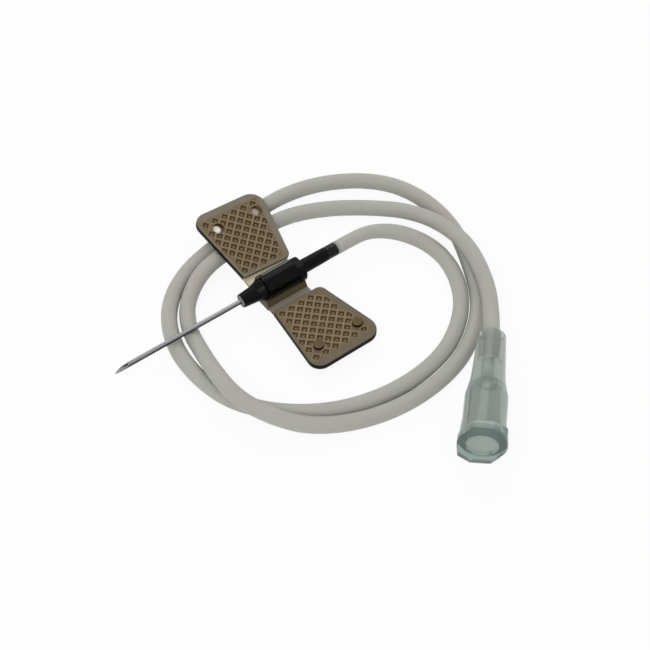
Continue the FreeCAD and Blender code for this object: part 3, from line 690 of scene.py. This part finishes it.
def from_peg(tree, spot, x, d):
    """Distance of a spot in the plan from one peg's axis in mm, whatever its depth."""
    flat = add_node(tree, "ShaderNodeVectorMath", {0: spot, 1: (1.0, 1.0, 0.0)}, operation="MULTIPLY")
    away = add_node(tree, "ShaderNodeVectorMath", {0: flat.outputs[0], 1: (x, d, 0.0)}, operation="DISTANCE")
    return away.outputs["Value"]


lattice_pvc, tree, output = new_material("lattice_pvc")
plan = add_node(tree, "ShaderNodeAttribute", attribute_name="plan").outputs["Vector"]
parts = add_node(tree, "ShaderNodeSeparateXYZ", {"Vector": plan})
depth = parts.outputs["Z"]
place = add_node(tree, "ShaderNodeTexCoord")
sides = add_node(tree, "ShaderNodeSeparateXYZ", {"Vector": place.outputs["Object"]})
mottle = add_node(tree, "ShaderNodeTexNoise", {
    "Vector": place.outputs["Object"], "Scale": LATTICE_MOTTLE_PER_MM / MM, "Detail": 4.0})

# The pocket that each point belongs to: its centre in the plan, and the point's reach from that centre
cell_place = add_node(tree, "ShaderNodeMapping", {"Vector": plan, **CELL_TURN}, vector_type="TEXTURE")
cell_local = add_node(tree, "ShaderNodeVectorMath", {
    0: cell_place.outputs[0], 1: (0.5, 0.5, 0.5), 2: (-0.5, -0.5, -0.5)}, operation="WRAP")
cell_middle = add_node(tree, "ShaderNodeVectorMath", {
    0: cell_place.outputs[0], 1: cell_local.outputs[0]}, operation="SUBTRACT")
cell_spot = add_node(tree, "ShaderNodeMapping", {"Vector": cell_middle.outputs[0], **CELL_TURN},
                     vector_type="POINT").outputs[0]
cell_reach = add_node(tree, "ShaderNodeVectorMath", {0: cell_local.outputs[0]}, operation="ABSOLUTE")
cell_sides = add_node(tree, "ShaderNodeSeparateXYZ", {"Vector": cell_reach.outputs[0]})
cell_edge = combined(tree, "MAXIMUM", (cell_sides.outputs["X"], cell_sides.outputs["Y"]))

# What each share from 0 to 1 is measured by, the value where it starts and the value where it is full
inside = inside_edges(tree, plan)
measures = [
    ("in_field", inside, -0.25, 0.15),
    ("off_field", inside, -0.05, -0.15),
    ("below_ridge", depth, 0.01, 0.04),
    ("on_wall", depth, 0.06, 0.13),
    ("on_floor", depth, 0.17, 0.21),
    ("mid_cell", cell_edge, 0.19, 0.1),
    ("down_side", depth, 0.03, 0.11),
    ("below_strip", depth, 0.2, 0.28),
    ("at_root", parts.outputs["Y"], WING_ROOT + 0.25, WING_ROOT + 0.05),
    ("underneath", depth, 0.8, 0.85),
    ("above_top", depth, -0.02, -0.04),
    ("on_peg", depth, -0.42, -0.46),
    ("cell_inside", inside_edges(tree, cell_spot), CELL_CENTRE_MARGIN, CELL_CENTRE_MARGIN + CELL_STEP),
]
for i, (x, d) in enumerate(PEG_PLACES):
    from_cell = from_peg(tree, cell_spot, x, d)
    from_glint = from_peg(tree, plan, x + SOCKET_GLINT_SHIFT, d + SOCKET_GLINT_SHIFT)
    ring_edge = PEG_RING + CELL_CENTRE_MARGIN
    measures.append(("cell_off_peg_" + str(i), from_cell, ring_edge, ring_edge + CELL_STEP))
    measures.append(("glint_" + str(i), from_glint, *SOCKET_GLINT))
shares = {}
for name, measure, start, full in measures:
    ramp = add_node(tree, "ShaderNodeMapRange", {"Value": measure, "From Min": start, "From Max": full})
    shares[name] = ramp.outputs[0]
shares["cell"] = combined(tree, "MULTIPLY", [
    shares[name] for name in ("cell_inside", "cell_off_peg_0", "cell_off_peg_1")])
socket_floor = add_node(tree, "ShaderNodeMath", {
    0: depth, 1: SOCKET_DEPTH, 2: SOCKET_FLOOR_SLACK}, operation="COMPARE")
shares["socket_floor"] = socket_floor.outputs[0]

tones = {}
for name, (light, dark) in LATTICE_TONES.items():
    tone = add_node(tree, "ShaderNodeMix", data_type="RGBA", sockets={
        "Factor": mottle.outputs["Fac"], "A": linear_colour(light), "B": linear_colour(dark)})
    tones[name] = tone.outputs["Result"]
for i, code in enumerate(SOCKET_GLINT_TONES):
    tones["socket_" + str(i)] = linear_colour(code)
# Painted light and shade: the far wing's margin is a little paler than the near wing's
on_far_wing = combined(tree, "LESS_THAN", (sides.outputs["Y"], 0.0))
margin = add_node(tree, "ShaderNodeMix", data_type="RGBA", sockets={
    "Factor": on_far_wing, "A": tones["near_margin"], "B": tones["far_margin"]})
tones["margin"] = margin.outputs["Result"]

# The tones are laid over the margin's in this order, each where all its shares are 1
shade = tones["margin"]
for tone, names in (
        ("field", ("in_field",)),
        ("ridge", ("cell", "in_field")),
        ("field", ("below_ridge", "cell")),
        # Painted shade: the pocket walls, and the ring round each floor that the floor tone leaves, take the
        # dark wall tone
        ("wall_painted_shade", ("on_wall", "cell")),
        ("floor", ("on_floor", "mid_cell", "cell")),
        # Painted shade: the plate's cut edges, and further on the pegs' sides, take the near-black cut tone
        ("cut", ("down_side", "off_field")),
        # Painted light: the root face and the strip below the plate's top take the pale root tone
        ("root", ("at_root", "below_strip")),
        ("margin", ("underneath",)),
        ("cut", ("above_top",)),
        ("peg", ("on_peg",)),
        # Painted highlight: a glint on each socket's floor, shifted a little from the socket's axis
        ("socket_0", ("glint_0", "socket_floor")),
        ("socket_1", ("glint_1", "socket_floor"))):
    share = combined(tree, "MULTIPLY", [shares[name] for name in names])
    layer = add_node(tree, "ShaderNodeMix", data_type="RGBA", sockets={
        "Factor": share, "A": shade, "B": tones[tone]})
    shade = layer.outputs["Result"]

skin = add_node(tree, "ShaderNodeBump", {
    "Height": mottle.outputs["Fac"], "Strength": 0.15, "Distance": 0.03 * MM})
shader = add_node(tree, "ShaderNodeBsdfPrincipled", {
    "Base Color": shade, "Normal": skin.outputs[0], "Roughness": 0.5, "IOR": 1.2})
tree.links.new(shader.outputs[0], output.inputs["Surface"])


def plate_solid(name):
    """The wing's plain plate, with a small bevel round its underside and a rounded rim on top."""
    levels = [(WING_UNDER_EDGE, WING_BASE_Z), (0.0, WING_BASE_Z + WING_UNDER_EDGE)]
    for inset, drop in WING_RIM:
        levels.append((inset, WING_TOP_Z - drop))
    outline = rounded_outline(WING_CORNERS, WING_ARC_STEPS)
    rings = []
    for inset, z in levels:
        rings.append([Vector((*(spot - normal * inset), z)) * MM for spot, normal in outline])
    return stacked_solid(name, rings)


def strip_solid():
    """Thin strip from the wing's plate up to the hinge, where its edge is rounded."""
    rounding = (WEB_TOP_Z - WING_BASE_Z) * STRIP_ROUNDING_SHARE
    corner = rounding * (1 - math.sqrt(0.5))
    profile = [(WING_ROOT + STRIP_OVERLAP, WEB_TOP_Z)]
    for inset, drop in ((rounding, 0.0), (corner, corner), (0.0, rounding)):
        profile.append((STRIP_START + inset, WEB_TOP_Z - drop))
    for inset, lift in ((0.0, rounding), (corner, corner), (rounding, 0.0)):
        profile.append((STRIP_START + inset, WING_BASE_Z + lift))
    profile.append((WING_ROOT + STRIP_OVERLAP, WING_BASE_Z + STRIP_LIFT))
    rings = []
    for x in WEB_X:
        rings.append([Vector((x, d, z)) * MM for d, z in profile])
    return stacked_solid("strip", rings)


def round_solid(x, d, radius, low, high, rounding):
    """Upright cylinder, with a rounded top edge where rounding isn't 0."""
    levels = [(0, low), (0, high - rounding)]
    if rounding:
        levels += [(rounding * ROUNDING_MIDDLE, high - rounding * ROUNDING_MIDDLE), (rounding, high)]
    rings = []
    for inset, z in levels:
        reach = radius - inset
        ring = []
        for k in range(ROUND_SIDES):
            angle = 2 * math.pi * k / ROUND_SIDES
            ring.append(Vector((x + reach * math.cos(angle), d + reach * math.sin(angle), z)) * MM)
        rings.append(ring)
    return stacked_solid("peg", rings)


def cut_lattice(plate, field):
    """Modifier that cuts the lattice into the plate, with cutters that stand a little proud of its top."""
    lattice = plate.modifiers.new("grip_lattice", "NODES")
    lattice.node_group = lattice_tree()
    slope = (CELL_MOUTH - CELL_FLOOR) / CELL_DEPTH
    given = {"Pitch": CELL_PITCH * MM, "Mouth": (CELL_MOUTH + slope * CUTTER_PROUD) * MM,
             "Floor": CELL_FLOOR * MM, "Depth": (CELL_DEPTH + CUTTER_PROUD) * MM,
             "Top": (WING_TOP_Z + CUTTER_PROUD) * MM, "Field": field, "Finish": lattice_pvc}
    for socket in lattice.node_group.interface.items_tree:
        if socket.in_out == "INPUT" and socket.name in given:
            lattice[socket.identifier] = given[socket.name]


def finish_blade(mesh, placing):
    """Material, plan attribute, place and smooth faces of a wing's finished mesh."""
    mesh.materials.clear()
    mesh.materials.append(lattice_pvc)
    written = mesh.attributes.new("plan", "FLOAT_VECTOR", "POINT")
    for vertex in mesh.vertices:
        x, d, z = vertex.co / MM
        written.data[vertex.index].vector = (x, d, WING_TOP_Z - z)
    mesh.transform(placing)
    if placing.determinant() < 0:
        mesh.flip_normals()
    mesh.shade_smooth()
    mesh.set_sharp_from_angle(angle=math.radians(WING_SHARP_DEG))


def make_wing(name, has_pegs, placing):
    """Plate with its lattice, strip and pegs or sockets, as one plain mesh in its place."""
    plate = plate_solid(name)
    field = lattice_field()
    cut_lattice(plate, field)
    extras = [strip_solid()]
    for x, d in PEG_PLACES:
        if has_pegs:
            extras.append(round_solid(x, d, PEG_RADIUS, WING_TOP_Z - PEG_ROOT,
                                      WING_TOP_Z + PEG_HEIGHT, PEG_ROUNDING))
        else:
            extras.append(round_solid(x, d, SOCKET_RADIUS, WING_TOP_Z - SOCKET_DEPTH,
                                      WING_TOP_Z + SOCKET_CUTTER_PROUD, 0.0))
    for i, extra in enumerate(extras):
        join = plate.modifiers.new("join_" + str(i), "BOOLEAN")
        join.object = extra
        join.solver = "EXACT"
        join.operation = "UNION" if i == 0 or has_pegs else "DIFFERENCE"
    mesh = bpy.data.meshes.new_from_object(plate.evaluated_get(bpy.context.evaluated_depsgraph_get()))
    plate.modifiers.clear()
    plate.data = mesh
    for helper in (*extras, field):
        bpy.data.objects.remove(helper)
    finish_blade(mesh, placing)
    return plate


def turn_about(point, axis, degrees):
    """Rotation about a line through a point given in millimetres."""
    shift = Matrix.Translation(Vector(point) * MM)
    return shift @ Matrix.Rotation(math.radians(degrees), 4, axis) @ shift.inverted()


left_placing = turn_about((0, HINGE_OFFSET, HINGE_Z), "X", LEFT_TILT_DEG)
right_pitch = turn_about((RIGHT_PITCH_X, 0, HINGE_Z), "Y", -RIGHT_PITCH_DEG)
right_tilt = turn_about((0, -HINGE_OFFSET, HINGE_Z), "X", -RIGHT_TILT_DEG)
across_hub = Matrix.Diagonal((1, -1, 1, 1))

left_wing = make_wing("left_wing_blade", True, left_placing)
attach(left_wing, "left_wing")
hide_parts("left_wing")
right_wing = make_wing("right_wing_blade", False, right_pitch @ right_tilt @ across_hub)
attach(right_wing, "right_wing")
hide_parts("right_wing")


# Webs: the thin flexing strips of the moulding along each hinge, from saddle to wing, each drawn here as one
# skin over the two halves of its strip. The milled mould leaves fine lines along them.
WEB_START = 2.39
WEB_END = 3.5
WEB_STEPS = 12
WEB_SKIN = 0.01
WEB_RIDGE = 0.02
WEB_RIDGE_SPACING = 4
WEB_LINES_PER_MM = (0.06, 5.2, 0.2)

# Thin smoke PVC with fine lines along the hinge; the far web is painted paler as light and the near one
# darker as shade
web_pvc, tree, output = new_material("web_pvc")
place = add_node(tree, "ShaderNodeTexCoord")
spread = add_node(tree, "ShaderNodeMapping", {
    "Vector": place.outputs["Object"], "Scale": [count / MM for count in WEB_LINES_PER_MM]})
lines = add_node(tree, "ShaderNodeTexNoise", {"Vector": spread.outputs[0], "Scale": 1.0, "Detail": 2.0})
near_tint = add_node(tree, "ShaderNodeMix", data_type="RGBA", sockets={
    "Factor": lines.outputs["Fac"], "A": linear_colour("5F594B"), "B": linear_colour("8A8373")})
far_tint_painted_light = add_node(tree, "ShaderNodeMix", data_type="RGBA", sockets={
    "Factor": lines.outputs["Fac"], "A": linear_colour("B0A792"), "B": linear_colour("DCD3BE")})
spot = add_node(tree, "ShaderNodeSeparateXYZ", {"Vector": place.outputs["Object"]})
on_far_web = combined(tree, "LESS_THAN", (spot.outputs["Y"], 0.0))
# Painted light and shade: the far web takes the pale tint, the near web the dark one
tint = add_node(tree, "ShaderNodeMix", data_type="RGBA", sockets={
    "Factor": on_far_web, "A": near_tint.outputs["Result"], "B": far_tint_painted_light.outputs["Result"]})
skin = add_node(tree, "ShaderNodeBump", {
    "Height": lines.outputs["Fac"], "Strength": 0.3, "Distance": 0.03 * MM})
shader = add_node(tree, "ShaderNodeBsdfPrincipled", {
    "Base Color": tint.outputs["Result"], "Normal": skin.outputs[0], "Roughness": 0.42, "IOR": 1.45})
tree.links.new(shader.outputs[0], output.inputs["Surface"])


def make_web(name, placing):
    """Thin skin across the hinge gap, with a few fine ridges along it."""
    rings = []
    for x in WEB_X:
        upper = []
        lower = []
        for k in range(WEB_STEPS + 1):
            d = WEB_START + (WEB_END - WEB_START) * k / WEB_STEPS
            lift = WEB_RIDGE if k % WEB_RIDGE_SPACING == WEB_RIDGE_SPACING // 2 else 0.0
            upper.append(Vector((x, d, WEB_TOP_Z + WEB_SKIN + lift)) * MM)
            lower.append(Vector((x, d, WING_BASE_Z - WEB_SKIN)) * MM)
        rings.append(upper + list(reversed(lower)))
    web = stacked_solid(name, rings)
    web.data.transform(placing)
    if placing.determinant() < 0:
        web.data.flip_normals()
    web.data.materials.append(web_pvc)
    return web


left_web = make_web("left_web_skin", Matrix.Identity(4))
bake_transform(left_web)
right_web = make_web("right_web_skin", right_pitch @ across_hub)
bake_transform(right_web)
